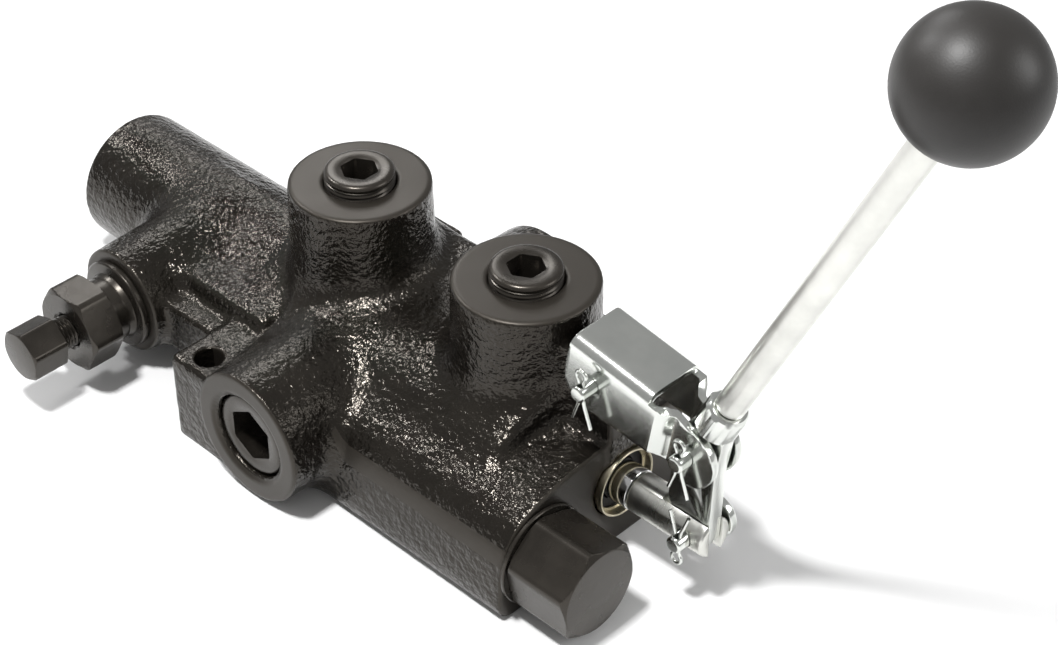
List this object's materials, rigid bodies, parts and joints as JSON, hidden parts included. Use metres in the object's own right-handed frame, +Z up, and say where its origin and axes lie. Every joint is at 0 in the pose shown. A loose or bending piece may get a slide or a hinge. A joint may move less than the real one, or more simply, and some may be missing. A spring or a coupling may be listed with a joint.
{
  "type": "hydraulic monoblock valve",
  "caption": "Lever-operated hydraulic monoblock directional valve: black cast body with plugged ports, relief cartridge, detent housing, chrome spool and zinc-plated lever linkage.",
  "frame": {"origin": "on the flat mounting face, under the spool axis and under the rear work port", "axes": "+X along the spool towards the lever, +Y towards the rear outlet port, +Z up from the mounting face to the work ports"},
  "size_m": [0.4118, 0.1686, 0.2638],
  "materials": {
    "black_enamel": "gloss black enamel over sand-cast iron",
    "zinc_plate": "bright zinc plate",
    "chrome": "ground and chromed",
    "dark_steel": "plain machined steel",
    "spring_steel": "drawn wire",
    "seal_rubber": "black nitrile",
    "knob_plastic": "satin moulded black"
  },
  "bodies": {
    "root": {"body_casting": "black_enamel", "work_port_plug_a": "black_enamel", "work_port_plug_b": "black_enamel", "inlet_port_plug": "black_enamel", "outlet_port_plug": "black_enamel", "gallery_plug": "black_enamel", "gallery_plug_washer": "black_enamel", "check_spring": "spring_steel", "relief_cartridge": "black_enamel", "relief_lock_nut": "black_enamel", "relief_spring": "spring_steel", "spool_wiper_seal": "seal_rubber", "seal_retainer": "zinc_plate", "rear_spool_seal": "seal_rubber", "centring_spring": "spring_steel", "centring_spring_stop": "dark_steel", "detent_cage": "dark_steel", "detent_band_spring": "spring_steel", "detent_end_cap": "black_enamel", "cap_snap_ring": "spring_steel", "fixed_pivot_pin": "zinc_plate", "fixed_pivot_cotter": "zinc_plate"},
    "spool_body": {"spool": "chrome", "spool_end_fitting": "zinc_plate", "detent_stem": "dark_steel", "centring_spring_seat": "dark_steel", "spool_pivot_pin": "zinc_plate", "spool_pivot_cotter": "zinc_plate"},
    "lever_body": {"lever_tang": "zinc_plate", "lever_socket": "zinc_plate", "lever_rod": "zinc_plate", "lever_knob": "knob_plastic"},
    "link_body": {"link_channel": "zinc_plate", "lever_pivot_pin": "zinc_plate", "lever_pivot_cotter": "zinc_plate"},
    "check_body": {"check_poppet": "dark_steel"},
    "relief_body": {"relief_poppet": "dark_steel"},
    "adjuster_body": {"relief_adjusting_screw": "black_enamel"},
    "upper_ball_body": {"detent_ball_upper": "chrome"},
    "lower_ball_body": {"detent_ball_lower": "chrome"}
  },
  "joints": [
    {"name": "spool_slide", "type": "slide", "parent": "root", "child": "spool_body", "axis": [1, 0, 0], "range_m": [-0.008, 0.008], "stiffness_N_per_m": 15000, "deforming": ["centring_spring"]},
    {"name": "lever_swing", "type": "hinge", "parent": "spool_body", "child": "lever_body", "pos_m": [0.166, 0, 0.027], "axis": [0, 1, 0], "range_deg": [-12.8, 12.8]},
    {"name": "link_swing", "type": "hinge", "parent": "root", "child": "link_body", "pos_m": [0.1273, 0, 0.0754], "axis": [0, 1, 0], "range_deg": [0, 1.35]},
    {"name": "check_lift", "type": "slide", "parent": "root", "child": "check_body", "axis": [1, 0, 0], "range_m": [0, 0.004], "stiffness_N_per_m": 900, "deforming": ["check_spring"]},
    {"name": "relief_lift", "type": "slide", "parent": "root", "child": "relief_body", "axis": [0, -1, 0], "range_m": [0, 0.0015], "stiffness_N_per_m": 2000, "deforming": ["relief_spring"]},
    {"name": "relief_adjuster_turn", "type": "hinge", "parent": "root", "child": "adjuster_body", "pos_m": [-0.0764, -0.1061, 0.027], "axis": [0, -1, 0], "range_deg": [-180, 180]},
    {"name": "detent_ball_upper_lift", "type": "slide", "parent": "root", "child": "upper_ball_body", "axis": [0, 0, 1], "range_m": [0, 0.0008], "stiffness_N_per_m": 800, "deforming": ["detent_band_spring"]},
    {"name": "detent_ball_lower_lift", "type": "slide", "parent": "root", "child": "lower_ball_body", "axis": [0, 0, -1], "range_m": [0, 0.0008], "stiffness_N_per_m": 800, "deforming": ["detent_band_spring"]}
  ],
  "couplings": [
    {"joint": "lever_swing", "follows": "spool_slide", "rad_per_m": -27.778}
  ]
}
